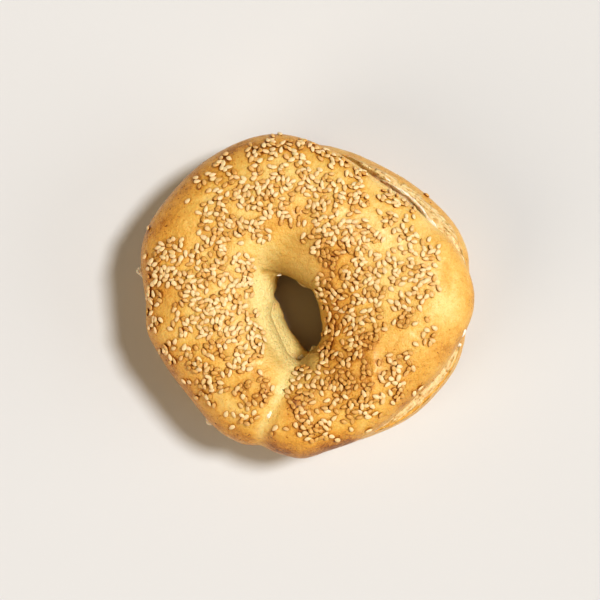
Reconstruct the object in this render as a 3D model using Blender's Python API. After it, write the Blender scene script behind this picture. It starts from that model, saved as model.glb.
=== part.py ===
"""A sliced sesame bagel with a layer of cream cheese between its halves.

The bagel lies on its flat underside. Z is up, the origin is under the middle of its outline,
and the long axis of the hole runs from the back left to the front right.
"""

import math
import random

import bmesh
import bpy
from mathutils import Matrix, Quaternion, Vector, noise
from mathutils.bvhtree import BVHTree

# Heights
BOTTOM_HEIGHT = 0.0180
CHEESE_THICKNESS = 0.0034
TOP_HEIGHT = 0.0205
LAYER_GAP = 0.0003
CUT_SLOPE = 0.016

# Outlines: the reach from the ring's centre, one for each 20 degrees, from +X round by +Y
TOP_REACH = (
    0.0662, 0.0622, 0.0559, 0.0548, 0.0592, 0.0652, 0.0658, 0.0656, 0.0660,
    0.0607, 0.0594, 0.0578, 0.0604, 0.0599, 0.0588, 0.0580, 0.0585, 0.0615,
)
BOTTOM_REACH = (
    0.0650, 0.0676, 0.0639, 0.0612, 0.0614, 0.0615, 0.0621, 0.0621, 0.0610,
    0.0570, 0.0559, 0.0547, 0.0570, 0.0576, 0.0582, 0.0603, 0.0631, 0.0649,
)

# Swellings and notches of the outlines: angle and width in degrees, then the added reach
TOP_BULGES = ((191.0, 7.0, 0.0017), (270.0, 7.0, 0.0018), (254.0, 4.0, -0.0016))
CHEESE_BULGES = ((48.0, 26.0, 0.0062), (170.0, 4.5, 0.0060), (233.0, 4.5, 0.0062), (348.0, 6.0, 0.0034))
CHEESE_HOLE_BULGES = ((293.0, 9.0, 0.0026),)

# Holes: two ovals, a little apart, because the top half has slid to the left
HOLE_TURN = math.radians(-65.0)
TOP_HOLE_CENTRE = Vector((-0.0017, -0.0058))
TOP_HOLE_REACH = (0.0172, 0.0080)
BOTTOM_HOLE_CENTRE = Vector((0.0012, -0.0047))
BOTTOM_HOLE_REACH = (0.0172, 0.0084)
CHEESE_HOLE_SET_BACK = 0.0012

# Sections
TOP_EQUATOR = 0.0035
TOP_TUCK = 0.0012
TOP_FULLNESS = 2.25
BOTTOM_EQUATOR = 0.0085
BOTTOM_TUCK = 0.0029
BOTTOM_FRONT_TUCK = 0.0017
BOTTOM_FRONT = (315.0, 45.0)
BOTTOM_FLAT_SHARE = 0.84
CHEESE_SET_BACK = 0.0030

# Uneven dough on the crown: broad swellings and two dimples (place, radius and depth)
SWELL_HEIGHT = 0.0013
SWELLS_PER_METRE = 42.0
DIMPLES = ((Vector((0.001, 0.036)), 0.008, 0.0012), (Vector((-0.010, 0.009)), 0.009, 0.0016))

# The furrow where the rope of dough was joined runs from the hole to the front rim
FURROW = (Vector((-0.0045, -0.0255)), Vector((-0.0074, -0.0330)), Vector((-0.0128, -0.0438)),
          Vector((-0.0158, -0.0505)), Vector((-0.0162, -0.0600)))
FURROW_DEPTH = 0.0024
FURROW_WIDTH = 0.0036
FURROW_BARE = 0.0042

# Seeds
SEED_COUNT = 225
SEED_TRIES = 60000
SEED_SPACING = 0.0046
SEED_LENGTH = 0.0033
SEED_WIDTH = 0.0021
SEED_DEPTH = 0.0013
SEED_SINK = 0.00012
SEED_TAPER = 0.28
SEED_LOWEST_FACING = 0.50
SEED_RIGHT_START = 0.022
SEED_RIGHT_FADE = 0.050
RANDOM_SEED = 11

# Ovals on the crown with few seeds or none: centre, reaches and the share of seeds left
BARE_OVALS = ((Vector((-0.0105, -0.0060)), (0.0085, 0.0170), 0.0),
              (Vector((-0.0050, 0.0150)), (0.0110, 0.0065), 0.12))

# How finely each piece is divided, round the ring and over its section
TOP_ROUND = 66
TOP_OVER = 12
BOTTOM_ROUND = 54
BOTTOM_OVER = 4
CHEESE_ROUND = 96
CHEESE_OVER = 3
FLAT_ROWS = 2
SHARP_ANGLE = math.radians(40.0)


def periodic(values, angle):
    """A smooth closed curve through values that are evenly spaced round the circle."""
    count = len(values)
    place = (angle / math.tau % 1.0) * count
    first = int(place) % count
    t = place - int(place)
    a, b, c, d = (values[(first + step) % count] for step in (-1, 0, 1, 2))
    bend = (2 * a - 5 * b + 4 * c - d) * t * t + (3 * (b - c) + d - a) * t ** 3
    return b + 0.5 * ((c - a) * t + bend)


def bulge(bulges, angle):
    """What the swellings and notches add to a reach at an angle."""
    added = 0.0
    for centre, width, reach in bulges:
        away = (math.degrees(angle) - centre + 180.0) % 360.0 - 180.0
        added += reach * math.exp(-(away / width) ** 2)
    return added


def heading(angle):
    return Vector((math.cos(angle), math.sin(angle)))


def top_outline(angle):
    return heading(angle) * (periodic(TOP_REACH, angle) + bulge(TOP_BULGES, angle))


def bottom_outline(angle):
    return heading(angle) * periodic(BOTTOM_REACH, angle)


def oval(centre, reach, angle):
    """A point of a turned oval, in the direction of the angle from its centre."""
    turned = angle - HOLE_TURN
    length = 1.0 / math.hypot(math.cos(turned) / reach[0], math.sin(turned) / reach[1])
    return centre + heading(angle) * length


def top_hole(angle):
    return oval(TOP_HOLE_CENTRE, TOP_HOLE_REACH, angle)


def bottom_hole(angle):
    return oval(BOTTOM_HOLE_CENTRE, BOTTOM_HOLE_REACH, angle)


def cheese_outline(angle):
    """Set back under the top half, but squeezed out at the back right and in a few dabs."""
    reach = top_outline(angle).length - CHEESE_SET_BACK + bulge(CHEESE_BULGES, angle)
    return heading(angle) * reach


def cheese_hole(angle):
    """Set back behind the top half's hole, but for a dab at its front end."""
    set_back = CHEESE_HOLE_SET_BACK - bulge(CHEESE_HOLE_BULGES, angle)
    return top_hole(angle) + heading(angle) * set_back


def furrow_distance(spot):
    """How far a spot is from the furrow's line."""
    nearest = math.inf
    for start, end in zip(FURROW, FURROW[1:]):
        run = end - start
        share = min(1.0, max(0.0, (spot - start).dot(run) / run.length_squared))
        nearest = min(nearest, (start + run * share - spot).length)
    return nearest


def top_relief(spot):
    """The uneven dough: broad swellings, dimples and the furrow."""
    lift = SWELL_HEIGHT * noise.noise(spot.to_3d() * SWELLS_PER_METRE)
    for centre, radius, depth in DIMPLES:
        lift -= depth * math.exp(-((spot - centre).length / radius) ** 2)
    return lift - FURROW_DEPTH * math.exp(-(furrow_distance(spot) / FURROW_WIDTH) ** 2)


def cut_height(spot, above):
    """The knife's cut is flat and rises a little towards +X."""
    return BOTTOM_HEIGHT + above + CUT_SLOPE * spot.x


def power_arc(turn, fullness):
    """A point of a quarter-round made fuller than a circle: the way across, then the way up."""
    across = math.copysign(abs(math.cos(turn)) ** (2.0 / fullness), math.cos(turn))
    up = abs(math.sin(turn)) ** (2.0 / fullness)
    return across, up


def spans(inner, outer):
    """Where a section's middle is, its half width and the direction from the hole outwards."""
    middle = (inner + outer) / 2
    half = (outer - inner) / 2
    return middle, half.length, half.normalized()


def top_section(angle):
    """The section of the top half: its cut face, then from the outer rim over the crown."""
    middle, half, way = spans(top_hole(angle), top_outline(angle))
    above = CHEESE_THICKNESS + 2 * LAYER_GAP
    points = []
    for row in range(FLAT_ROWS + 1):
        spot = middle + way * (half - TOP_TUCK) * (2.0 * row / FLAT_ROWS - 1.0)
        points.append(spot.to_3d() + Vector((0, 0, cut_height(spot, above))))
    dome = TOP_HEIGHT - TOP_EQUATOR
    for step in range(TOP_OVER + 1):
        across, up = power_arc(math.pi * step / TOP_OVER, TOP_FULLNESS)
        spot = middle + way * half * across
        height = cut_height(spot * (1 - up), above) + TOP_EQUATOR + dome * up
        points.append(spot.to_3d() + Vector((0, 0, height + top_relief(spot) * up)))
    return points


def bottom_section(angle):
    """The section of the bottom half: its underside, the outer wall, the cut and the hole's wall."""
    middle, half, way = spans(bottom_hole(angle), bottom_outline(angle))
    flat = half * BOTTOM_FLAT_SHARE
    points = []
    for row in range(FLAT_ROWS + 1):
        spot = middle + way * flat * (2.0 * row / FLAT_ROWS - 1.0)
        points.append(spot.to_3d())
    front = bulge((BOTTOM_FRONT + (1.0,),), angle)
    tuck = BOTTOM_TUCK + (BOTTOM_FRONT_TUCK - BOTTOM_TUCK) * front
    for side in (1.0, -1.0):
        wall = []
        for step in range(1, BOTTOM_OVER + 1):
            turn = math.pi / 2 * step / BOTTOM_OVER
            spot = middle + way * side * (flat + (half - flat) * math.sin(turn))
            wall.append(spot.to_3d() + Vector((0, 0, BOTTOM_EQUATOR * (1.0 - math.cos(turn)))))
        for step in range(1, BOTTOM_OVER + 1):
            share = step / BOTTOM_OVER
            spot = middle + way * side * (half - tuck * share ** 2)
            rise = (cut_height(spot, 0.0) - BOTTOM_EQUATOR) * share
            wall.append(spot.to_3d() + Vector((0, 0, BOTTOM_EQUATOR + rise)))
        points.extend(wall if side > 0 else wall[::-1])
        if side > 0:
            points.append(middle.to_3d() + Vector((0, 0, cut_height(middle, 0.0))))
    return points


def cheese_section(angle):
    """The section of the cream cheese: a slab with rounded edges between the two cut faces."""
    middle, half, way = spans(cheese_hole(angle), cheese_outline(angle))
    round_reach = CHEESE_THICKNESS / 2
    points = []
    for side in (1.0, -1.0):
        for step in range(CHEESE_OVER + 1):
            turn = -math.pi / 2 + math.pi * step / CHEESE_OVER
            spot = middle + way * side * (half - round_reach + round_reach * math.cos(turn))
            above = LAYER_GAP + round_reach * (1.0 + side * math.sin(turn))
            points.append(spot.to_3d() + Vector((0, 0, cut_height(spot, above))))
    return points


def ring_mesh(section, rounds):
    """A closed ring whose section at each angle is a loop of points."""
    shape = bmesh.new()
    loops = []
    for turn in range(rounds):
        points = section(math.tau * turn / rounds)
        loops.append([shape.verts.new(point) for point in points])
    for turn, loop in enumerate(loops):
        following = loops[(turn + 1) % rounds]
        for row, vert in enumerate(loop):
            after = (row + 1) % len(loop)
            shape.faces.new((vert, following[row], following[after], loop[after]))
    bmesh.ops.recalc_face_normals(shape, faces=shape.faces)
    return shape


def material(name, colour, roughness):
    """A plain finish for one piece."""
    finish = bpy.data.materials.new(name)
    finish.use_nodes = True
    shader = finish.node_tree.nodes["Principled BSDF"]
    shader.inputs["Base Color"].default_value = (*colour, 1.0)
    shader.inputs["Roughness"].default_value = roughness
    shader.inputs["Metallic"].default_value = 0.0
    return finish


def smooth(mesh):
    """Rounded faces look round, and real edges stay sharp."""
    mesh.shade_smooth()
    mesh.set_sharp_from_angle(angle=SHARP_ANGLE)


def add_piece(name, shape, finish):
    """Turns a mesh under construction into a named object with its finish."""
    mesh = bpy.data.meshes.new(name)
    shape.to_mesh(mesh)
    shape.free()
    mesh.materials.append(finish)
    smooth(mesh)
    piece = bpy.data.objects.new(name, mesh)
    bpy.context.scene.collection.objects.link(piece)
    return piece


def seed_shape():
    """One sesame seed: a flattened drop, pointed at one end."""
    shape = bmesh.new()
    bmesh.ops.create_icosphere(shape, subdivisions=1, radius=1.0)
    for vert in shape.verts:
        taper = 1.0 - SEED_TAPER * vert.co.x
        vert.co.x *= SEED_LENGTH / 2
        vert.co.y *= SEED_WIDTH / 2 * taper
        vert.co.z *= SEED_DEPTH / 2 * taper
    return shape


def seed_density(spot):
    """How thickly seeds lie there: none in the furrow, few by the hole, fewer to the right."""
    if furrow_distance(spot) < FURROW_BARE:
        return 0.0
    for centre, reach, share in BARE_OVALS:
        away = spot - centre
        if math.hypot(away.x / reach[0], away.y / reach[1]) < 1.0:
            return share
    return 1.0 - min(1.0, max(0.0, (spot.x - SEED_RIGHT_START) / SEED_RIGHT_FADE))


def seed_places(tree):
    """Spots where seeds lie on the crust: evenly spread by a least distance between them."""
    draw = random.Random(RANDOM_SEED)
    reach = max(TOP_REACH)
    overhead = Vector((0, 0, 2 * (BOTTOM_HEIGHT + TOP_HEIGHT)))
    places = []
    for _ in range(SEED_TRIES):
        spot = Vector((draw.uniform(-reach, reach), draw.uniform(-reach, reach)))
        chance = draw.random()
        turn = draw.uniform(0.0, math.tau)
        if len(places) == SEED_COUNT or chance > seed_density(spot):
            continue
        point, normal, _, _ = tree.ray_cast(spot.to_3d() + overhead, -overhead)
        if point is None or normal.z < SEED_LOWEST_FACING:
            continue
        if any((point - other).length < SEED_SPACING for other, _, _ in places):
            continue
        places.append((point, normal, turn))
    return places


def lay_seeds(tree, group):
    """Puts one object for each seed into the group, each lying on the crust at its own turn."""
    template = seed_shape()
    seed_mesh = bpy.data.meshes.new("seed")
    template.to_mesh(seed_mesh)
    template.free()
    for point, normal, turn in seed_places(tree):
        seed = bpy.data.objects.new("seed", seed_mesh)
        seed.rotation_mode = "QUATERNION"
        seed.rotation_quaternion = normal.to_track_quat("Z", "Y") @ Quaternion((0, 0, 1), turn)
        seed.location = point - normal * SEED_SINK
        group.objects.link(seed)


def fuse_seeds(top):
    """Lays the seeds on the crust and joins them to it in one Boolean union."""
    shape = bmesh.new()
    shape.from_mesh(top.data)
    tree = BVHTree.FromBMesh(shape)
    shape.free()
    group = bpy.data.collections.new("seeds")
    bpy.context.scene.collection.children.link(group)
    lay_seeds(tree, group)
    union = top.modifiers.new("seeds", "BOOLEAN")
    union.operation = "UNION"
    union.operand_type = "COLLECTION"
    union.collection = group
    union.solver = "EXACT"
    depsgraph = bpy.context.evaluated_depsgraph_get()
    fused = bpy.data.meshes.new_from_object(top.evaluated_get(depsgraph))
    top.modifiers.clear()
    top.data = fused
    smooth(fused)
    for seed in list(group.objects):
        bpy.data.objects.remove(seed)
    bpy.data.collections.remove(group)


def stand_on_origin(pieces):
    """Moves the pieces together, so that the origin is under the middle of their outline."""
    corners = [vert.co for piece in pieces for vert in piece.data.vertices]
    low = Vector(min(corner[axis] for corner in corners) for axis in range(3))
    high = Vector(max(corner[axis] for corner in corners) for axis in range(3))
    shift = Vector((-(low.x + high.x) / 2, -(low.y + high.y) / 2, -low.z))
    for piece in pieces:
        piece.data.transform(Matrix.Translation(shift))


def main():
    for old in list(bpy.data.objects):
        bpy.data.objects.remove(old)
    bottom_crust = material("bottom_crust", (0.62, 0.31, 0.08), 0.60)
    spread = material("cream_cheese", (0.88, 0.82, 0.68), 0.35)
    top_crust = material("top_crust", (0.72, 0.42, 0.13), 0.55)
    bottom = add_piece("bagel_bottom", ring_mesh(bottom_section, BOTTOM_ROUND), bottom_crust)
    layer = add_piece("cream_cheese", ring_mesh(cheese_section, CHEESE_ROUND), spread)
    top = add_piece("bagel_top", ring_mesh(top_section, TOP_ROUND), top_crust)
    fuse_seeds(top)
    stand_on_origin((bottom, layer, top))


main()
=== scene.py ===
"""Dresses a sliced sesame bagel with cream cheese: its crust, crumb, spread and seeds."""

import math
import random

import bpy
import numpy as np
from bpy.props import FloatProperty, FloatVectorProperty, IntProperty, PointerProperty
from mathutils import Matrix, Quaternion, Vector, noise
from mathutils.bvhtree import BVHTree
from mathutils.kdtree import KDTree


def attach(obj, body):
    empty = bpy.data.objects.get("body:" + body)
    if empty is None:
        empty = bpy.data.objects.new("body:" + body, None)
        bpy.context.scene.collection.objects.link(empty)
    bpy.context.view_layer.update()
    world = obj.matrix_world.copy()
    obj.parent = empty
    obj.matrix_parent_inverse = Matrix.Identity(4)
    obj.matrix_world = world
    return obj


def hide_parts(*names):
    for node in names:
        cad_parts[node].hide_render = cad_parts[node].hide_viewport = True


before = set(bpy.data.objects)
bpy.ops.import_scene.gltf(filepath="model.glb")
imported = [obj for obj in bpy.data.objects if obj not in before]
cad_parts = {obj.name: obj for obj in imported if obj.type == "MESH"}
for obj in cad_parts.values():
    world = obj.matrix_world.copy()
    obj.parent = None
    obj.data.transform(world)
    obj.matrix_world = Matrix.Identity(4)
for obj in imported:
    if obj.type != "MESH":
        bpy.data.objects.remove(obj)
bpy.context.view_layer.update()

bl_info = {
    "name": "Sesame Bagel",
    "version": (1, 0, 0),
    "blender": (4, 5, 0),
    "location": "View3D > Sidebar > Bagel",
    "description": "Builds a sliced sesame bagel with cream cheese on a pale floor",
    "category": "Mesh",
}

MM = 0.001
SWELL_SIZE = 1.0 / 42.0
FOLD_SIZE = 5.0 * MM
FOLD_HEIGHT = 0.28 * MM

# Outlines: the reach from the ring's centre, one for each 20 degrees, from +X round by +Y
TOP_REACH = (
    0.0662, 0.0622, 0.0559, 0.0548, 0.0592, 0.0652, 0.0658, 0.0656, 0.0660,
    0.0607, 0.0594, 0.0578, 0.0604, 0.0599, 0.0588, 0.0580, 0.0585, 0.0615,
)
BOTTOM_REACH = (
    0.0650, 0.0676, 0.0639, 0.0612, 0.0614, 0.0615, 0.0621, 0.0621, 0.0610,
    0.0570, 0.0559, 0.0547, 0.0570, 0.0576, 0.0582, 0.0603, 0.0631, 0.0649,
)

# The hole: the reach in millimetres from the hole's centre, one for each 7.5 degrees
TOP_HOLE_REACH = (
    8.4, 8.3, 8.4, 8.5, 8.7, 9.0, 9.4, 10.0, 10.7, 11.0, 11.2, 11.8,
    12.7, 13.9, 15.4, 16.8, 17.1, 15.4, 13.9, 12.3, 11.0, 10.7, 10.6, 10.6,
    10.6, 10.3, 10.0, 9.9, 9.9, 10.2, 10.6, 11.3, 12.2, 13.7, 15.4, 16.7,
    17.6, 16.6, 15.0, 14.5, 13.9, 13.2, 12.4, 11.5, 10.6, 9.9, 9.2, 8.7,
)
BOTTOM_HOLE_REACH = (
    10.8, 10.9, 10.9, 10.8, 10.8, 10.9, 11.0, 11.3, 11.6, 11.8, 12.0, 12.3,
    13.2, 14.4, 15.8, 16.8, 16.3, 14.2, 13.0, 12.1, 8.9, 7.7, 6.8, 6.2,
    5.8, 5.8, 5.8, 5.7, 5.7, 5.8, 6.1, 6.4, 6.8, 7.3, 8.0, 8.9,
    10.3, 12.8, 15.0, 15.2, 14.8, 14.3, 13.8, 13.0, 12.2, 11.6, 11.2, 11.0,
)

# Swellings and notches of the outlines: angle and width in degrees, then the added reach
TOP_BULGES = (
    (191, 7, 0.0017), (270, 7, 0.0018), (254, 4, -0.0016),
    (30, 5, -0.0009), (316, 14, -0.0010),
)
BOTTOM_BULGES = ((337, 12, 0.0011), (312, 10, 0.0005))
CHEESE_BULGES = ((45, 22, 0.0060), (170, 2.8, 0.0052), (232.5, 3.2, 0.0046), (348, 5, 0.0030))
CHEESE_HOLE_BULGES = ((293, 7, 0.0028), (83, 18, 0.0016))

# Sides of the ring where a share is 1 and fades: the front right, and the roll in the hole
BOTTOM_FRONT = ((315, 45, 1),)
ROLL_SIDE = ((213, 46, 1),)

# Stretches of the outline in degrees: where each starts, is full, is last full and ends.
# The halves stand apart at the gape, the groove is its deep part, and crumb shows at the slit.
GAPE = (22, 32, 66, 90)
GROOVE = (31, 42, 66, 90)
SLIT = (283, 303, 334, 344)

# Lines on the crown, in millimetres from the ring's centre
FURROW = ((-4.5, -25.5), (-7.4, -33.0), (-12.8, -43.8), (-15.8, -50.5), (-16.2, -60.0))
JOIN_CREASE = ((-12.2, -42.8), (-15.0, -46.6), (-16.0, -51.6), (-16.3, -58.0))
HOLE_CREASE = ((-15.4, 10.9), (-11.5, 10.6), (-8.0, 9.4))
BACK_RIDGE = ((-0.8, 41.9), (6.0, 39.8), (12.8, 36.5))
RIGHT_RIDGE = ((25.5, -19.5), (27.5, -26.0), (26.0, -34.0))

# Fine folds along them: the line, then its height and width in millimetres
FOLDS = (
    (JOIN_CREASE, -1.0, 0.8), (HOLE_CREASE, -2.4, 0.7),
    (BACK_RIDGE, 0.6, 2.0), (RIGHT_RIDGE, 0.5, 1.8),
)

# Ovals on the crown, in millimetres: centre X and Y, reach across and along, sometimes the turn
# in degrees, and in the tables the strength last
HOLE_STRIP = (-11.5, -6.5, 5.8, 20.0, 24.0)
PALE_SPOT = (-7.9, -34.2, 2.6, 2.2)
# Where the bare dough above the hole gets the dull dough colour: painted shade on the slope into the
# hole
SHADED_BARE_DOUGH = (0.0, 19.0, 11.0, 9.0)
DIMPLES = ((1, 36, 8, 8, 1.2), (-10, 9, 9, 9, 1.6), (0, 33.5, 4.2, 3.4, 0.7))
SEED_PATCHES = (
    (-4, 52, 17, 12.5, 1), (14, 51, 12, 8, 0.8), (-21, 33.5, 17.5, 13, 0.85),
    (-30.5, 50, 4.5, 5.5, 0.7), (-37, 41, 8, 7, 0.12), (-50.5, 12.5, 9.5, 11, 1),
    (-34, 12, 16, 14, 0.75), (-30, -8, 18.5, 22, 0.85), (-57, -2, 3.2, 13, 0.5),
    (-46, -17.5, 11, 10, 0.3), (-34, -33, 9, 6.5, 0.35), (-17.5, -36, 7.5, 6, 0.7),
    (-23, -43.5, 6.5, 3, 0.4), (17, 16, 14.5, 19, 1), (10, 36, 14, 14, 0.9), (17, -9, 12, 13, 0.9),
    (15.5, -28, 10, 19, 1), (-1, -33.5, 5.5, 8, 0.9), (4, -47.5, 7, 5.5, 0.75),
    (36, 8, 12, 19.5, 0.55), (38, 33, 10, 8, 0.35), (34.5, 39, 5.5, 3.5, 0.9),
    (49, 19.5, 4.5, 5, 0.8), (33.5, -33, 6, 6.5, 0.8), (26, -39.5, 4.5, 3.5, 0.8),
    (36.5, -22.5, 5.5, 5.5, 0.5), (47, 5.5, 5, 6, 0.4), (47.5, -12.5, 3, 5, 0.4),
)
BARE_PATCHES = (
    (-11, -8, 6, 18, 20, 1), (-7, 15, 15, 6.5, -17, 0.97), (-3.5, 50.5, 3, 2.2, 0, 0.8),
    (-0.5, 33.5, 4.6, 3.6, 0, 0.85), (27, -27, 2, 8, 8, 0.8), (-50, 1.5, 4.5, 2.4, -20, 0.8),
)
# Browner and paler patches. Some are painted shade: the dip beside the furrow below the hole, the
# hollow above the hole and the slope falling into it
BAKED_AND_SHADED_PATCHES = (
    (-51, 12, 10, 12, 0.02), (13, 12, 7, 12, 0.24), (17, -20, 12, 20, 0.3), (-22, 38, 14, 11, 0.04),
    (-2, 52, 14, 10, -0.08), (2, -54, 20, 7, 0.24), (-1, 14, 12, 7, 0.2), (42, -14, 16, 14, 0.06),
    (-14, -50, 14, 5, 0.1), (-52, 2.2, 3.4, 1.5, 0.13), (54.5, 8, 2.2, 7.5, 0.22),
    (58, 9, 10, 20, -0.2), (-58, -4, 6, 14, -0.15), (-30, -8, 16, 20, -0.04),
    (38, 24, 16, 22, -0.1), (36, -34, 24, 22, 0.14), (-4, 27, 9, 9, 0.24), (-46, 26, 10, 10, 0.14),
    (-50, -3, 6, 12, 0.14), (-38, -22, 11, 8, 0.18), (-21, -32, 10, 7, 0.26),
    (-10, -40, 10, 8, 0.26), (1, -41, 8, 8, 0.24),
)

# Single seeds away from the patches, on the rim and in the hole
EDGE_SEEDS = ((-59.2, 27.5), (-9.0, 63.8), (48.2, 41.0), (7.8, -13.2), (-8.2, 8.0))

# Bits of spread on the crust, in millimetres: the place, the half sizes, and the turn in degrees
FLECKS = (
    (61.9, -12.4, 1.6, 0.7, 0.5, 82), (60.7, -17.5, 0.9, 0.8, 0.5, 0),
    (-13, -43.8, 1.3, 1, 0.7, 60), (-0.8, -22.4, 1.4, 0.9, 0.7, 30),
    (-9.2, 9.7, 1.1, 0.45, 0.4, 12), (-63.2, 11.4, 1.2, 0.9, 0.6, 20),
    (33.4, 46.6, 1.5, 0.28, 0.2, 146), (40, 41.4, 1.8, 0.30, 0.2, 138),
    (46.6, 34.8, 1.7, 0.32, 0.2, 128), (50.8, 30, 1.6, 0.36, 0.2, 122),
)


def colour(name, description, value):
    """A colour as a picture shows it, which the user can change."""
    return FloatVectorProperty(
        name=name, description=description, default=value, min=0.0, max=1.0, subtype="COLOR_GAMMA"
    )


def length(name, description, value):
    """A length in metres, which the user can change."""
    return FloatProperty(
        name=name, description=description, default=value,
        precision=5, subtype="DISTANCE", unit="LENGTH",
    )


def number(name, description, value):
    """A plain number, which the user can change."""
    return FloatProperty(name=name, description=description, default=value, precision=3)


class BagelShape(bpy.types.PropertyGroup):
    """The sizes of the bread and the spread."""

    ring_x: length("Ring centre X", "Where the outlines are measured from", -0.00064)
    ring_y: length("Ring centre Y", "Where the outlines are measured from", -0.00159)
    bottom_height: length("Bottom height", "The bottom half at its middle", 0.0180)
    spread_thickness: length("Spread thickness", "The cream cheese between the halves", 0.0034)
    top_height: length("Top height", "The top half at its crown", 0.0205)
    layer_gap: length("Layer gap", "The room between the packed solids", 0.0003)
    top_equator: length("Top equator", "The widest level of the top half above its cut", 0.0035)
    top_tuck: length("Top tuck", "How far the top half's cut edge is drawn in", 0.0012)
    bottom_equator: length("Bottom equator", "The widest level of the bottom half", 0.0085)
    bottom_tuck: length("Bottom tuck", "How far the bottom half's cut edge is drawn in", 0.0029)
    front_tuck: length("Front tuck", "The same at the front right", 0.0017)
    spread_set_back: length("Spread set back", "The spread's edge inside the top half's", 0.0030)
    furrow_depth: length("Furrow depth", "The furrow where the dough was joined", 0.0024)
    furrow_width: length("Furrow width", "The furrow where the dough was joined", 0.0036)
    swell_height: length("Swell height", "The broad swellings of the crown", 0.0013)
    cut_slope: number("Cut slope", "The rise of the cut towards +X", 0.016)
    top_fullness: number("Top fullness", "2 is an ellipse, more is fuller", 2.25)
    flat_share: number("Flat share", "The flat part of the underside", 0.84)
    hole_x: length("Hole centre X", "From the ring's centre", -0.0017)
    hole_y: length("Hole centre Y", "From the ring's centre", -0.0058)
    roll_lift: length("Roll lift", "How far the dough rolls up in the hole", 0.0034)
    groove_depth: length("Groove depth", "The spread's dip beside the top half", 0.0018)
    ridge_height: length("Ridge height", "The torn crumb beyond the dip", 0.0018)
    ridge_extra: length("Ridge extra", "What it is higher at the gape's ends", 0.0013)
    slit_height: length("Slit height", "The crumb that shows at the slit", 0.0029)


class BagelSeeds(bpy.types.PropertyGroup):
    """The sesame seeds on the crown."""

    count: IntProperty(name="Count", description="How many seeds there are", default=1330, min=1)
    draw: IntProperty(name="Draw", description="The start of the random draw", default=7)
    length: length("Length", "A seed from tip to tip", 0.0030)
    width: length("Width", "A seed across", 0.00180)
    depth: length("Depth", "A seed's thickness", 0.00120)
    spacing: length("Spacing", "The least distance between two seeds", 0.00135)


class BagelColours(bpy.types.PropertyGroup):
    """The colours, as a picture shows them."""

    crust_pale: colour("Pale crust", "The crown", (0.980, 0.875, 0.590))
    crust_gold: colour("Golden crust", "The slopes", (0.945, 0.785, 0.450))
    crust_amber: colour("Amber crust", "The rim", (0.905, 0.700, 0.345))
    crust_brown: colour("Brown crust", "The bottom's edge", (0.755, 0.515, 0.205))
    crust_dark: colour("Dark crust", "Toasted marks", (0.520, 0.300, 0.100))
    # The bare dough colour, darkened to serve also as painted shade on the slopes into the hole and in
    # its crease
    dough: colour("Bare dough", "The smooth skin round the hole", (0.765, 0.645, 0.385))
    flour: colour("Floury dough", "The pale skin of the join", (0.995, 0.950, 0.715))
    crumb: colour("Crumb", "The torn tips of the cut face", (0.985, 0.905, 0.720))
    # The crumb colour in its pores and low streaks, as painted shade
    crumb_pore_shade: colour("Deep crumb", "The pores of the cut face", (0.840, 0.690, 0.430))
    spread: colour("Cream cheese", "The spread", (0.950, 0.900, 0.800))
    seed_pale: colour("Pale seed", "The seeds least toasted", (0.975, 0.885, 0.715))
    seed_tan: colour("Tan seed", "The seeds more toasted", (0.880, 0.705, 0.410))
    # The darkest seed colour: for the darker tips, and as painted shade on the seeds' undersides
    seed_dark: colour("Dark seed", "The seeds' undersides", (0.560, 0.330, 0.100))
    floor: colour("Floor", "The floor", (0.865, 0.880, 0.895))


class BagelStage(bpy.types.PropertyGroup):
    """The camera and the lights."""

    frame_width: length("Frame width", "What the picture spans at the bagel's middle height", 0.2328)
    camera_distance: length("Camera distance", "From the bagel's middle height", 0.90)
    key_strength: number("Key strength", "The main light", 1.86)
    side_strength: number("Side strength", "The low light from the right", 0.50)
    card_strength: number("Card strength", "The soft light opposite", 0.78)
    fill_strength: number("Fill strength", "The room's light", 0.165)


class Wire:
    """One value in a material's node tree, which takes part in Python arithmetic."""

    def __init__(self, finish, socket):
        self.finish = finish
        self.socket = socket

    def maths(self, operation, *values):
        return self.finish.add("ShaderNodeMath", {"operation": operation}, dict(enumerate(values)))

    def __add__(self, other):
        return self.maths("ADD", self, other)

    def __sub__(self, other):
        return self.maths("SUBTRACT", self, other)

    def __rsub__(self, other):
        return self.maths("SUBTRACT", other, self)

    def __mul__(self, other):
        return self.maths("MULTIPLY", self, other)

    __radd__ = __add__
    __rmul__ = __mul__


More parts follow.
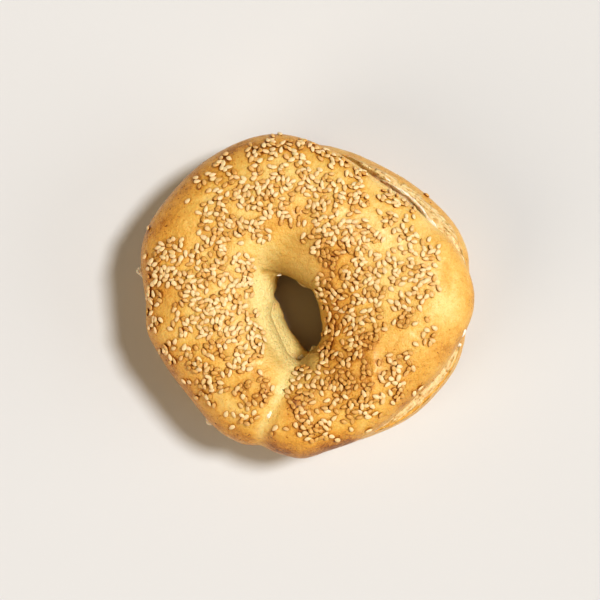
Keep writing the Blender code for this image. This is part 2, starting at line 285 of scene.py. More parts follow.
class Finish:
    """A material under construction, with one Principled shader."""

    def __init__(self, name):
        self.material = bpy.data.materials.new(name)
        self.material.use_nodes = True
        self.tree = self.material.node_tree
        self.shader = self.tree.nodes["Principled BSDF"]
        self.place = self.add("ShaderNodeTexCoord", {}, {}, "Object")

    def add(self, kind, settings, inputs, output=0):
        """Adds a node: its settings first, then the values or links of its sockets."""
        node = self.tree.nodes.new(kind)
        for key, value in settings.items():
            if key == "stops":
                self.set_stops(node.color_ramp, value)
            else:
                setattr(node, key, value)
        for key, value in inputs.items():
            self.feed(node.inputs[key], value)
        return Wire(self, node.outputs[output])

    def feed(self, socket, value):
        """Links a wire, or sets a value or the colour with that name."""
        if isinstance(value, Wire):
            self.tree.links.new(value.socket, socket)
        else:
            socket.default_value = tint(value) if isinstance(value, str) else value

    def set_stops(self, ramp, stops):
        while len(ramp.elements) > 1:
            ramp.elements.remove(ramp.elements[-1])
        for index, (name, position) in enumerate(stops.items()):
            element = ramp.elements[0] if index == 0 else ramp.elements.new(position)
            element.position = position
            element.color = tint(name)

    def noise(self, scale, detail, roughness=0.55):
        inputs = {"Vector": self.place, "Scale": scale, "Detail": detail, "Roughness": roughness}
        return self.add("ShaderNodeTexNoise", {}, inputs, "Fac")

    def cells(self, scale):
        inputs = {"Vector": self.place, "Scale": scale}
        return self.add("ShaderNodeTexVoronoi", {"feature": "F1"}, inputs, "Distance")

    def painted(self, name):
        """A value that the piece's mesh carries at its vertices."""
        return self.add("ShaderNodeAttribute", {"attribute_name": name}, {}, "Fac")

    def step(self, value, low, high, start=0.0, end=1.0):
        """Goes smoothly from start to end as the value goes from low to high."""
        inputs = {"Value": value, "From Min": low, "From Max": high, "To Min": start, "To Max": end}
        return self.add("ShaderNodeMapRange", {"interpolation_type": "SMOOTHSTEP"}, inputs, "Result")

    def ramp(self, value, **stops):
        """Goes from one named colour to the next, each at its position."""
        return self.add("ShaderNodeValToRGB", {"stops": stops}, {"Fac": value}, "Color")

    def mix(self, share, first, second):
        """Blends two colours, whose sockets on the Mix node come after those for numbers."""
        return self.add("ShaderNodeMix", {"data_type": "RGBA"}, {0: share, 6: first, 7: second}, 2)

    def bump(self, height, distance, strength=1.0, under=None):
        inputs = {"Height": height, "Distance": distance, "Strength": strength}
        if under is not None:
            inputs["Normal"] = under
        return self.add("ShaderNodeBump", {}, inputs, "Normal")

    def shade(self, **values):
        for key, value in values.items():
            self.feed(self.shader.inputs[key.replace("_", " ")], value)


def tint(name):
    """One of the bagel's colours as light, with full alpha."""
    shade = getattr(bpy.context.scene.bagel.colours, name)
    return tuple(c / 12.92 if c <= 0.04045 else ((c + 0.055) / 1.055) ** 2.4 for c in shade) + (1.0,)


def periodic(values, angle):
    """A smooth closed curve through values that are evenly spaced round the circle."""
    values = np.asarray(values)
    place = (angle / math.tau % 1.0) * len(values)
    first = np.floor(place).astype(int)
    t = place - first
    a, b, c, d = (values[(first + step) % len(values)] for step in (-1, 0, 1, 2))
    bend = (2 * a - 5 * b + 4 * c - d) * t * t + (3 * (b - c) + d - a) * t ** 3
    return b + 0.5 * ((c - a) * t + bend)


def bell(value, width):
    """1 where the value is 0, which fades smoothly within about the width on both sides."""
    return np.exp(-(value / width) ** 2)


def bulge(bulges, angle):
    """What the swellings and notches add to a reach at an angle."""
    added = np.zeros_like(angle)
    for centre, width, reach in bulges:
        away = (np.degrees(angle) - centre + 180.0) % 360.0 - 180.0
        added += reach * bell(away, width)
    return added


def stretch(limits, angle):
    """1 along a stretch of the outline, which fades to 0 at its ends."""
    start, full, last, end = limits
    turned = np.degrees(angle) % 360.0
    return smooth_step(turned, start, full) * smooth_step(turned, end, last)


def polar(angle, reach):
    return np.stack((np.cos(angle) * reach, np.sin(angle) * reach), axis=-1)


def smooth_step(value, low, high):
    share = np.clip((value - low) / (high - low), 0.0, 1.0)
    return share * share * (3.0 - 2.0 * share)


def clouds(points, size, octaves=1, offset=0.0):
    """Smooth noise from -1 to 1 whose swells are about that size, at each point."""
    shift = Vector((offset, offset, offset))
    if octaves == 1:
        return np.array([noise.noise(Vector(p) / size + shift) for p in points])
    return np.array([noise.fractal(Vector(p) / size + shift, 0.8, 2.1, octaves) for p in points])


def flat_clouds(spots, size, octaves=1, offset=0.0):
    """The same over spots on a plane."""
    return clouds(np.column_stack((spots, 0 * spots[:, 0])), size, octaves, offset)


def line_distance(spots, line):
    """How far each spot is from a line through points in millimetres, in metres."""
    nearest = np.full(len(spots), np.inf)
    points = [np.array(point) * MM for point in line]
    for start, end in zip(points, points[1:]):
        run = end - start
        share = np.clip((spots - start) @ run / (run @ run), 0.0, 1.0)
        away = spots - start - share[:, None] * run
        nearest = np.minimum(nearest, np.hypot(away[:, 0], away[:, 1]))
    return nearest


def oval_share(spots, x, y, reach_across, reach_along, turn=0.0):
    """How far out each spot is in an oval given in millimetres: 1 on its edge."""
    away = spots / MM - np.array((x, y))
    cosine, sine = math.cos(math.radians(turn)), math.sin(math.radians(turn))
    across = (away[:, 0] * cosine + away[:, 1] * sine) / reach_across
    along = (away[:, 1] * cosine - away[:, 0] * sine) / reach_along
    return np.hypot(across, along)


def soft_oval(spots, oval, outside, inside):
    """1 in an oval, which fades to 0 from the inside to the outside share of its reach."""
    return smooth_step(oval_share(spots, *oval), outside, inside)


def soft_ovals(spots, table, outside, inside):
    """The same for each oval of a table, times its strength."""
    return [amount * soft_oval(spots, oval, outside, inside) for *oval, amount in table]


def baked_and_shaded(spots):
    """How much browner or paler than the rest the crown is at each spot; some patches are painted
    shade in dips and hollows.
    """
    return sum(soft_ovals(spots, BAKED_AND_SHADED_PATCHES, 1.4, 0.5))


# The ring that a piece starts as, before its outline and section are given
RING_REACH = 0.040
RING_THICKNESS = 0.020
MERGE_DISTANCE = 0.000001


def deselect():
    bpy.ops.object.select_all(action="DESELECT")


def add_ring(name, rounds, profile):
    """Rolls a grid up into a ring, and gives each vertex's angle and its row of the profile."""
    rows = len(profile[0])
    deselect()
    bpy.ops.mesh.primitive_grid_add(
        x_subdivisions=rounds, y_subdivisions=rows, size=1.0, calc_uvs=False
    )
    piece = bpy.context.object
    piece.name = piece.data.name = name
    flat = get_places(piece)[:, :2] + 0.5
    section = np.rint(flat[:, 1] * rows) * math.tau / rows
    reach = RING_REACH + RING_THICKNESS * np.cos(section)
    rolled = polar(np.rint(flat[:, 0] * rounds) * math.tau / rounds, reach)
    set_places(piece, np.column_stack((rolled, RING_THICKNESS * np.sin(section))))
    bpy.ops.object.mode_set(mode="EDIT")
    bpy.ops.mesh.select_all(action="SELECT")
    bpy.ops.mesh.remove_doubles(threshold=MERGE_DISTANCE)
    bpy.ops.object.mode_set(mode="OBJECT")
    x, y, z = get_places(piece).T
    turn = np.rint(np.arctan2(y, x) / math.tau * rounds).astype(int) % rounds
    row = np.rint(np.arctan2(z, np.hypot(x, y) - RING_REACH) / math.tau * rows).astype(int) % rows
    return piece, turn * math.tau / rounds, [values[row] for values in profile]


def set_places(piece, places):
    piece.data.vertices.foreach_set("co", places.astype(np.float32).ravel())
    piece.data.update()


def read_vectors(items, name):
    values = np.empty(len(items) * 3, np.float32)
    items.foreach_get(name, values)
    return values.reshape(-1, 3).astype(float)


def get_places(piece):
    return read_vectors(piece.data.vertices, "co")


def get_normals(piece):
    return read_vectors(piece.data.vertex_normals, "vector")


def paint(piece, **masks):
    """Gives the mesh a value at each vertex under each name, for its material to read."""
    for name, values in masks.items():
        layer = piece.data.attributes.new(name, "FLOAT", "POINT")
        layer.data.foreach_set("value", np.clip(values, 0.0, 1.0).astype(np.float32))


def crust_trees(names):
    """The surfaces that small things land on."""
    graph = bpy.context.evaluated_depsgraph_get()
    return [BVHTree.FromObject(bpy.data.objects[name], graph) for name in names]


def land(trees, shape, spot):
    """The highest surface point under a spot given from the ring's centre, and its normal."""
    start = Vector((spot[0] + shape.ring_x, spot[1] + shape.ring_y, 0.1))
    hits = [tree.ray_cast(start, Vector((0.0, 0.0, -1.0)))[:2] for tree in trees]
    hits = [hit for hit in hits if hit[0] is not None]
    return max(hits, key=lambda hit: hit[0].z) if hits else (None, None)


def finish_piece(piece, shape, material, nodes):
    """Moves a piece from the ring's centre to its place and hands it to the frame."""
    piece.data.transform(Matrix.Translation((shape.ring_x, shape.ring_y, 0.0)))
    piece.data.materials.clear()
    piece.data.materials.append(material)
    deselect()
    piece.select_set(True)
    bpy.context.view_layer.objects.active = piece
    bpy.ops.object.shade_smooth()
    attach(piece, "root")
    if nodes:
        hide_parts(*nodes)


def top_reach(angle):
    return periodic(TOP_REACH, angle) + bulge(TOP_BULGES, angle)


def hole_edge(shape, reaches, angle, added=0.0):
    """The hole's wall, from its reaches in millimetres."""
    middle = np.array((shape.hole_x, shape.hole_y))
    return polar(angle, periodic(reaches, angle) * MM + added) + middle


def past_top(spots):
    """How far each spot lies outside the top half, and the direction it lies in."""
    heading = np.arctan2(spots[:, 1], spots[:, 0])
    return np.hypot(spots[:, 0], spots[:, 1]) - top_reach(heading), heading


def gape_relief(shape, spots):
    """The dip and the torn ridge of the bottom half's cut face where the halves stand apart."""
    past, heading = past_top(spots)
    groove = stretch(GROOVE, heading)
    dip = shape.groove_depth * bell(past - 0.2 * MM, 0.8 * MM)
    start = (1.9 * groove - 1.0) * MM
    ridge = shape.ridge_height + shape.ridge_extra * (1.0 - groove)
    ridge *= smooth_step((past - start) / MM, 0.0, 1.2) * smooth_step(past, 5.4 * MM, 3.8 * MM)
    slit = shape.slit_height * smooth_step(past, -2.6 * MM, -0.8 * MM)
    return stretch(GAPE, heading) * ridge - groove * dip + stretch(SLIT, heading) * slit


def join_rows(*stretches):
    """Joins stretches of rows, each given as its values, of which some are the same all along."""
    filled = [np.broadcast_arrays(*values) for values in stretches]
    return [np.concatenate(values) for values in zip(*filled)]


def section_frame(inner, outer):
    """Each section's middle, half width and direction outwards."""
    middle = (inner + outer) / 2
    half = np.linalg.norm(outer - inner, axis=1) / 2
    way = (outer - inner) / (2 * half[:, None])
    return middle, half, way


def cut_height(shape, spots, above):
    return shape.bottom_height + above + shape.cut_slope * spots[:, 0]


def crown_relief(shape, spots):
    """The uneven dough of the crown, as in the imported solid, and its finer folds."""
    lift = shape.swell_height * flat_clouds(spots, SWELL_SIZE)
    for *oval, depth in DIMPLES:
        lift -= depth * MM * bell(oval_share(spots, *oval), 1.0)
    lift -= shape.furrow_depth * bell(line_distance(spots, FURROW), shape.furrow_width)
    for line, height, width in FOLDS:
        lift += height * MM * bell(line_distance(spots, line), width * MM)
    return lift + FOLD_HEIGHT * flat_clouds(spots, FOLD_SIZE, 3, 4.0)


class BAGEL_OT_bottom_half(bpy.types.Operator):
    """Makes the bottom half: its flat base, browned sides, hole and rough cut face"""

    bl_idname = "bagel.bottom_half"
    bl_label = "Bottom Half"

    ROUNDS = 500
    SIDE_ROWS = 22
    CUT_ROWS = 84
    BASE_ROWS = 26
    RIM_REACH = 0.060
    STREAK_STRETCH = 6.0

    def profile(self, shape):
        """For each row: the shares of half width and tuck, of the equator and of what is above."""
        upper = np.arange(self.SIDE_ROWS) / self.SIDE_ROWS
        face = -np.cos(math.pi * np.arange(self.CUT_ROWS) / self.CUT_ROWS)
        base = 2.0 * np.arange(self.BASE_ROWS) / self.BASE_ROWS - 1.0
        fall, rise = math.pi / 2 * (1.0 - upper), math.pi / 2 * upper
        flat = shape.flat_share
        return join_rows(
            (1.0, -upper ** 2, 1.0, upper),
            (-face, face, 1.0, 1.0),
            (-1.0, (1.0 - upper) ** 2, 1.0, 1.0 - upper),
            (-(flat + (1 - flat) * np.sin(fall)), 0.0, 1.0 - np.cos(fall), 0.0),
            (base * flat, 0.0, 0.0, 0.0),
            (flat + (1 - flat) * np.sin(rise), 0.0, 1.0 - np.cos(rise), 0.0),
        )

    def execute(self, context):
        shape = context.scene.bagel.shape
        piece, angle, rows = add_ring("bread_bottom", self.ROUNDS, self.profile(shape))
        across, tuck_share, low, high = rows
        hole = hole_edge(shape, BOTTOM_HOLE_REACH, angle)
        reach = periodic(BOTTOM_REACH, angle) + bulge(BOTTOM_BULGES, angle)
        middle, half, way = section_frame(hole, polar(angle, reach))
        tuck = shape.bottom_tuck + (shape.front_tuck - shape.bottom_tuck) * bulge(BOTTOM_FRONT, angle)
        roll_reach = (periodic(TOP_HOLE_REACH, angle) - periodic(BOTTOM_HOLE_REACH, angle)) * MM
        tuck = np.where(across < 0, np.maximum(roll_reach + 0.2 * MM, tuck), tuck)
        away = half * across + tuck * tuck_share
        spots = middle + way * away[:, None]
        rise = cut_height(shape, spots, 0.0) - shape.bottom_equator
        height = shape.bottom_equator * low + rise * high
        height += gape_relief(shape, spots) * smooth_step(high, 0.75, 1.0) * (across > 0)
        roll = bulge(ROLL_SIDE, angle) * (across < 0)
        inward = (across + 1.0) * half - tuck * (high >= 1.0) * (1.0 - tuck_share)
        rolled = smooth_step(high, 0.2, 1.0) * bell(inward - 1.7 * MM, 1.9 * MM)
        height += shape.roll_lift * roll * rolled
        set_places(piece, np.column_stack((spots, height)))

        places, normals = get_places(piece), get_normals(piece)
        on_cut = (high >= 1.0).astype(float)
        base = 1.0 - low
        fine = clouds(places, 2.2 * MM, 3)
        broad = clouds(places, 11.0 * MM, 2, 9.0)
        pores = smooth_step(clouds(places, 1.5 * MM, 1, 21.0), 0.22, 0.60)
        crumbs = clouds(places, 1.1 * MM, 2, 33.0)
        raised = (1 - on_cut) * (0.10 * fine + 0.22 * broad) * np.clip(low * 2.0, 0.0, 1.0)
        past, heading = past_top(spots)
        along = heading * self.RIM_REACH / self.STREAK_STRETCH
        streaks = flat_clouds(np.column_stack((along, past)), 0.65 * MM, 2, 60.0)
        raised += on_cut * (0.20 * fine + 0.16 * crumbs + 0.30 * streaks - 0.50 * pores - 0.10)
        raised -= 0.10 * base * np.clip(fine, 0.0, 1.0)
        places += normals * raised[:, None] * MM
        places[:, 2] = np.maximum(places[:, 2], 0.0)
        set_places(piece, places)
        rim = smooth_step(high + 0.10 * fine, 0.86, 0.99)
        skin = np.clip(1.6 * (roll * bell(inward, 5.0 * MM)), 0.0, 1.0)
        from_edge = (half - away) / MM - 0.6 * stretch(SLIT, angle)
        rim *= np.where(across > 0, smooth_step(from_edge + 0.7 * streaks, 1.8, 2.5), 1.0)
        # Painted shade on the torn crumb: darker in its low streaks and pores, and a little along the
        # gape
        torn = 0.85 * smooth_step(-streaks, -0.05, 0.30) + 0.6 * pores + 0.25 * stretch(GAPE, angle)
        bake = 0.56 + 0.10 * broad + 0.14 * base
        # Painted light: the outer crust is paler at the gape and the slit
        bake -= 0.05 * (stretch(GAPE, angle) + stretch(SLIT, angle)) * (across > 0)
        bake += np.where(across < -0.5, -0.14 - 0.55 * smooth_step(high, 0.0, 0.6), 0.0)
        flour = 0.95 * skin * smooth_step(high, 0.1, 0.7)
        paint(piece, crumb=rim * (1 - skin), torn=torn, bake=bake, flour=flour)
        finish_piece(piece, shape, crust_finish("bottom_crust"), ("bagel_bottom",))
        return {"FINISHED"}


class BAGEL_OT_cream_cheese(bpy.types.Operator):
    """Makes the cream cheese: a layer with an uneven, bulging edge and a few dabs"""

    bl_idname = "bagel.cream_cheese"
    bl_label = "Cream Cheese"

    ROUNDS = 900
    EDGE_ROWS = 26
    FACE_ROWS = 24

    def profile(self):
        """For each row: the share of the half width, and how far it bends outwards and up."""
        turns = math.pi * (np.arange(self.EDGE_ROWS) / self.EDGE_ROWS - 0.5)
        face = np.arange(self.FACE_ROWS) / self.FACE_ROWS
        half = self.EDGE_ROWS // 2
        first, last = turns[:half], turns[half:]
        return join_rows(
            (1.0, np.cos(last), np.sin(last)),
            (1 - 2 * face, 0.0, 1.0),
            (-1.0, np.cos(turns), -np.sin(turns)),
            (2 * face - 1, 0.0, -1.0),
            (1.0, np.cos(first), np.sin(first)),
        )

    def execute(self, context):
        shape = context.scene.bagel.shape
        piece, angle, (across, bend, up) = add_ring("cream_cheese_layer", self.ROUNDS, self.profile())
        reach = top_reach(angle) - shape.spread_set_back + bulge(CHEESE_BULGES, angle)
        wobble = flat_clouds(polar(angle, 0.01), 1.1 * MM, 2)
        reach -= 2.5 * MM * stretch(SLIT, angle)
        outer = polar(angle, reach + 0.35 * MM * wobble)
        set_back = 1.2 * MM + 3.0 * MM * bulge(ROLL_SIDE, angle) - bulge(CHEESE_HOLE_BULGES, angle)
        inner = hole_edge(shape, TOP_HOLE_REACH, angle, set_back + 0.3 * MM * wobble)
        middle, half, way = section_frame(inner, outer)
        round_reach = shape.spread_thickness / 2
        edge = np.where(np.abs(across) >= 1.0, half - round_reach + round_reach * bend, 0.0)
        away = np.where(edge > 0, np.sign(across) * edge, across * (half - round_reach))
        spots = middle + way * away[:, None]
        past, heading = past_top(spots)
        thick = shape.spread_thickness / 2 + shape.layer_gap * 1.6
        thin = 1.0 - 0.72 * smooth_step(past, -2.2 * MM, 0.6 * MM) * stretch(GAPE, heading)
        centre = cut_height(shape, spots, shape.layer_gap + shape.spread_thickness / 2)
        height = centre - thick + thick * (1.0 + up) * thin + gape_relief(shape, spots)
        set_places(piece, np.column_stack((spots, height)))

        places, normals = get_places(piece), get_normals(piece)
        smear = clouds(places * np.array((1.0, 1.0, 2.4)), 2.4 * MM, 3)
        lumps = clouds(places, 0.9 * MM, 2, 15.0)
        open_edge = smooth_step(np.abs(across), 0.80, 0.97)
        places += normals * ((0.30 * smear + 0.12 * lumps) * open_edge)[:, None] * MM
        set_places(piece, places)
        # Painted shade in the groove beside the top half's edge
        deep = smooth_step(past, -1.0 * MM, 0.2 * MM) * smooth_step(past, 2.4 * MM, 1.2 * MM)
        paint(piece, deep=stretch(GROOVE, heading) * deep)
        finish_piece(piece, shape, spread_finish(), ("cream_cheese",))
        return {"FINISHED"}


class BAGEL_OT_top_half(bpy.types.Operator):
    """Makes the top half: its domed crust with furrow and folds, its hole and its cut face"""

    bl_idname = "bagel.top_half"
    bl_label = "Top Half"

    ROUNDS = 500
    DOME_ROWS = 144
    WALL_ROWS = 8
    CUT_ROWS = 34

    def profile(self, shape):
        """For each row: the shares of half width and tuck, of the dome and below the equator."""
        power = 2.0 / shape.top_fullness
        turn = math.pi * np.arange(self.DOME_ROWS) / (self.DOME_ROWS - 1)
        dome = np.sign(np.cos(turn)) * np.abs(np.cos(turn)) ** power
        wall = np.arange(1, self.WALL_ROWS + 1) / self.WALL_ROWS
        face = -np.cos(math.pi * np.arange(1, self.CUT_ROWS) / self.CUT_ROWS)
        return join_rows(
            (dome, 0.0, np.sin(turn).clip(0.0) ** power, 0.0),
            (-1.0, wall ** 2, 0.0, wall),
            (face, -face, 0.0, 1.0),
            (1.0, -(wall[::-1] ** 2), 0.0, wall[::-1]),
        )

    def execute(self, context):
        shape = context.scene.bagel.shape
        piece, angle, rows = add_ring("bread_top", self.ROUNDS, self.profile(shape))
        across, tuck, up, drop = rows
        hole = hole_edge(shape, TOP_HOLE_REACH, angle)
        middle, half, way = section_frame(hole, polar(angle, top_reach(angle)))
        away = half * across + shape.top_tuck * tuck
        spots = middle + way * away[:, None]
        above = shape.spread_thickness + 2 * shape.layer_gap
        low_side = bulge(ROLL_SIDE, angle) * smooth_step(-across, 0.0, 1.0)
        equator = shape.top_equator * (1.0 - 0.8 * low_side)
        level = cut_height(shape, spots * (1 - up)[:, None], above)
        height = level + equator * (1 - drop) + (shape.top_height - equator) * up
        height += crown_relief(shape, spots) * up
        set_places(piece, np.column_stack((spots, height)))

        places, normals = get_places(piece), get_normals(piece)
        on_cut = (drop >= 1.0).astype(float)
        fine = clouds(places, 1.8 * MM, 3, 2.0)
        broad = clouds(places, 9.0 * MM, 2, 6.0)
        pores = smooth_step(clouds(places, 1.5 * MM, 1, 21.0), 0.22, 0.60)
        flakes = clouds(places, 0.9 * MM, 2, 40.0)

        furrow = bell(line_distance(spots, FURROW), 2.6 * MM)
        join = bell(line_distance(spots, JOIN_CREASE), 0.9 * MM)
        crease_shade = bell(line_distance(spots, HOLE_CREASE), 0.38 * MM)
        strip = soft_oval(spots, HOLE_STRIP, 1.25, 0.7)
        pale = soft_oval(spots, PALE_SPOT, 1.3, 0.7)
        floury = 0.88 * strip + 0.50 * furrow + 0.35 * join + 0.6 * pale
        floury = np.clip(floury, 0.0, 1.0) * (1 - crease_shade)
        raised = (1 - on_cut) * (0.09 * fine + floury * (0.10 * flakes - 0.20 * pores))
        raised += on_cut * (0.15 * fine - 0.45 * pores)
        places += normals * raised[:, None] * MM
        set_places(piece, places)
        # Painted light: the rim's crust is paler at the gape and the slit, where the light falls on it
        painted_light = np.maximum(stretch(GAPE, angle), 0.6 * stretch(SLIT, angle))
        rim = smooth_step(across, 0.45, 1.0) * (1.0 - 0.75 * painted_light)
        lap = smooth_step(-across, 0.42, 0.95)
        bake = 0.20 + 0.50 * rim + 0.14 * broad + 0.07 * fine - 0.20 * lap * (spots[:, 0] < 6 * MM)
        bake += 0.16 * lap * smooth_step(spots[:, 0], 2 * MM, 12 * MM)
        bake += baked_and_shaded(spots)
        # Painted shade along the crease at the hole: baked browner here, and given the dull dough
        # colour below
        bake += 0.30 * crease_shade - 0.15 * furrow - 0.4 * pale
        # Bare dough on the hole's inner slopes and above it, its dull colour partly painted shade
        dough_shade = 0.55 * soft_oval(spots, SHADED_BARE_DOUGH, 1.2, 0.5)
        dough = np.maximum(lap * smooth_step(spots[:, 0], 12 * MM, 2 * MM), dough_shade)
        dough = np.maximum(dough * (1 - floury), crease_shade)
        crumb = smooth_step(drop + 0.10 * fine, 0.88, 1.0)
        paint(piece, bake=bake, flour=floury * (1 - 0.85 * rim), dough=dough, crumb=crumb)
        finish_piece(piece, shape, crust_finish("top_crust"), ("bagel_top",))
        return {"FINISHED"}


class BAGEL_OT_spread_flecks(bpy.types.Operator):
    """Makes the bits of cream cheese on the rim, in the furrow, at the hole and on the torn crumb"""

    bl_idname = "bagel.spread_flecks"
    bl_label = "Spread Flecks"

    def execute(self, context):
        shape = context.scene.bagel.shape
        trees = crust_trees(("bread_top", "bread_bottom", "cream_cheese_layer"))
        flecks = []
        for index, (x, y, *reaches, turn) in enumerate(FLECKS):
            point, normal = land(trees, shape, (x * MM, y * MM))
            if point is None:
                raise RuntimeError(f"fleck {index} has nothing to lie on")
            deselect()
            bpy.ops.mesh.primitive_ico_sphere_add(subdivisions=4, radius=1.0)
            fleck = context.object
            places = get_places(fleck)
            places *= 1.0 + 0.45 * clouds(places, 0.75, 2, 7.0 * index)[:, None]
            places *= np.array(reaches) * MM
            along = Vector((math.cos(math.radians(turn)), math.sin(math.radians(turn)), 0.0))
            along = (along - normal * along.dot(normal)).normalized()
            stand = np.array((along, normal.cross(along), normal))
            set_places(fleck, places @ stand + np.array(point))
            flecks.append(fleck)
        for fleck in flecks:
            fleck.select_set(True)
        context.view_layer.objects.active = flecks[0]
        bpy.ops.object.join()
        piece = context.object
        piece.name = piece.data.name = "spread_flecks"
        piece.data.transform(Matrix.Translation((-shape.ring_x, -shape.ring_y, 0.0)))
        finish_piece(piece, shape, bpy.data.materials["cream_cheese"], ())
        return {"FINISHED"}


class BAGEL_OT_sesame_seeds(bpy.types.Operator):
    """Strews sesame seeds over the crown, each a flattened drop at its own turn"""

    bl_idname = "bagel.sesame_seeds"
    bl_label = "Sesame Seeds"

    SEGMENTS = 10
    RINGS = 7
    TRIES = 90000
    STRAY_SHARE = 0.012
    STRAY_REACH = 0.056
    STEEPEST = {"crown": 0.40, "edge": 0.15}
    SIZES = ((0.88, 1.10), (0.86, 1.12), (0.85, 1.15))
    # A seed closer than this to one before it lies on that one, raised and tilted more
    PILED_GAP = 2.0 * MM
    PILED_TILT, TILT = (10.0, 22.0), (0.0, 5.0)
    PILED_LIFT, LIFT = (0.40, 0.66), (0.22, 0.40)

    def template(self, seeds):
        """One seed, modelled as a sphere that is flattened, drawn to a tip and then taken away."""
        deselect()
        bpy.ops.mesh.primitive_uv_sphere_add(
            segments=self.SEGMENTS, ring_count=self.RINGS, radius=1.0, rotation=(0.0, math.pi / 2, 0.0)
        )
        seed = bpy.context.object
        bpy.ops.object.transform_apply(location=False, rotation=True, scale=False)
        places = get_places(seed)
        faces = [tuple(face.vertices) for face in seed.data.polygons]
        bpy.data.objects.remove(seed)
        taper = 1.0 - 0.30 * places[:, 0] - 0.10 * places[:, 0] ** 2
        places[:, 0] *= seeds.length / 2
        places[:, 1] *= seeds.width / 2 * taper
        places[:, 2] *= seeds.depth / 2 * (0.72 + 0.28 * taper)
        return places, faces

    def strew(self, seeds, trees, shape):
        """The places of the seeds: by a seeded draw, as thick as the patches say, none too close."""
        draw = random.Random(seeds.draw)
        reach = max(TOP_REACH)
        tries = np.array([draw.uniform(-reach, reach) for _ in range(2 * self.TRIES)]).reshape(-1, 2)
        wanted = np.max(soft_ovals(tries, SEED_PATCHES, 1.15, 0.80), axis=0)
        bare = np.ones(len(tries))
        for share in soft_ovals(tries, BARE_PATCHES, 1.12, 0.88):
            bare *= 1.0 - share
        wanted *= smooth_step(line_distance(tries, FURROW), 1.2 * MM, 3.0 * MM)
        clumps = flat_clouds(tries, 6.0 * MM, 2, 50.0)
        wanted *= 0.15 + 0.85 * smooth_step(clumps, -0.30, 0.15)
        on_crown = np.hypot(tries[:, 0], tries[:, 1]) < self.STRAY_REACH
        wanted = bare * np.maximum(wanted, self.STRAY_SHARE * on_crown)
        edge = np.array(EDGE_SEEDS) * MM
        places = []
        shares = np.concatenate((np.ones(len(edge)), wanted))
        for spot, share in zip(np.concatenate((edge, tries)), shares):
            chance = draw.random()
            if len(places) >= seeds.count or chance > share:
                continue
            kind = "edge" if len(places) < len(edge) else "crown"
            point, normal = land(trees if kind == "edge" else trees[:1], shape, spot)
            if point is None or normal.z < self.STEEPEST[kind]:
                continue
            gap = min(((point - other).length for other, _, _ in places), default=1.0)
            if gap >= seeds.spacing:
                places.append((point, normal, gap))
        return places

    def brown_and_shade_between(self, bread, points):
        """Paints the crust close to the seeds darker: partly browner baking, partly painted shade in
        the gaps that the seeds shade.
        """
        near = KDTree(len(points))
        for index, point in enumerate(points):
            near.insert(point, index)
        near.balance()
        browned = []
        for place in get_places(bread):
            found = near.find_n(place, 3)
            browned.append(sum(math.exp(-(away / (1.35 * MM)) ** 2) for _, _, away in found) / 1.3)
        paint(bread, seeded=np.array(browned))

    def execute(self, context):
        settings = context.scene.bagel
        seeds, shape = settings.seeds, settings.shape
        trees = crust_trees(("bread_top", "bread_bottom"))
        template, faces = self.template(seeds)
        draw = random.Random(seeds.draw + 1)
        places, tones, tips, sides, joined = [], [], [], [], []
        found = self.strew(seeds, trees, shape)
        spots = np.array([(point.x - shape.ring_x, point.y - shape.ring_y) for point, _, _ in found])
        # Seeds are toasted more where the patches say, the painted shade patches included
        toasted = baked_and_shaded(spots).clip(0.0)
        for index, (point, normal, gap) in enumerate(found):
            piled = gap < self.PILED_GAP
            tilt = draw.uniform(*self.PILED_TILT) if piled else draw.gauss(*self.TILT)
            size = np.array([draw.uniform(low, high) for low, high in self.SIZES])
            turn = (
                normal.to_track_quat("Z", "Y")
                @ Quaternion((0, 0, 1), draw.uniform(0.0, math.tau))
                @ Quaternion((0, 1, 0), math.radians(tilt))
                @ Quaternion((1, 0, 0), math.radians(draw.gauss(0.0, 8.0)))
            )
            lift = seeds.depth * draw.uniform(*(self.PILED_LIFT if piled else self.LIFT))
            rotation = np.array(turn.to_matrix())
            places.append(template * size @ rotation.T + np.array(point + normal * lift))
            joined += [tuple(corner + index * len(template) for corner in face) for face in faces]
            tones.append(np.full(len(template), draw.random() + 1.2 * toasted[index]))
            tips.append(np.clip(template[:, 0] / seeds.length + 0.5, 0.0, 1.0))
            # The lower half of each seed is marked for painted shade on its underside
            sides.append(np.clip(0.5 - template[:, 2] / seeds.depth, 0.0, 1.0))
        self.brown_and_shade_between(bpy.data.objects["bread_top"], [point for point, _, _ in found])
        mesh = bpy.data.meshes.new("sesame_seeds")
        mesh.from_pydata(np.concatenate(places).tolist(), [], joined)
        piece = bpy.data.objects.new("sesame_seeds", mesh)
        context.scene.collection.objects.link(piece)
        mesh.transform(Matrix.Translation((-shape.ring_x, -shape.ring_y, 0.0)))
        paint(piece, tone=np.concatenate(tones), tip=np.concatenate(tips), side=np.concatenate(sides))
        finish_piece(piece, shape, seed_finish(), ())
        if len(found) < seeds.count * 0.8:
            raise RuntimeError(f"only {len(found)} seeds found room")
        return {"FINISHED"}


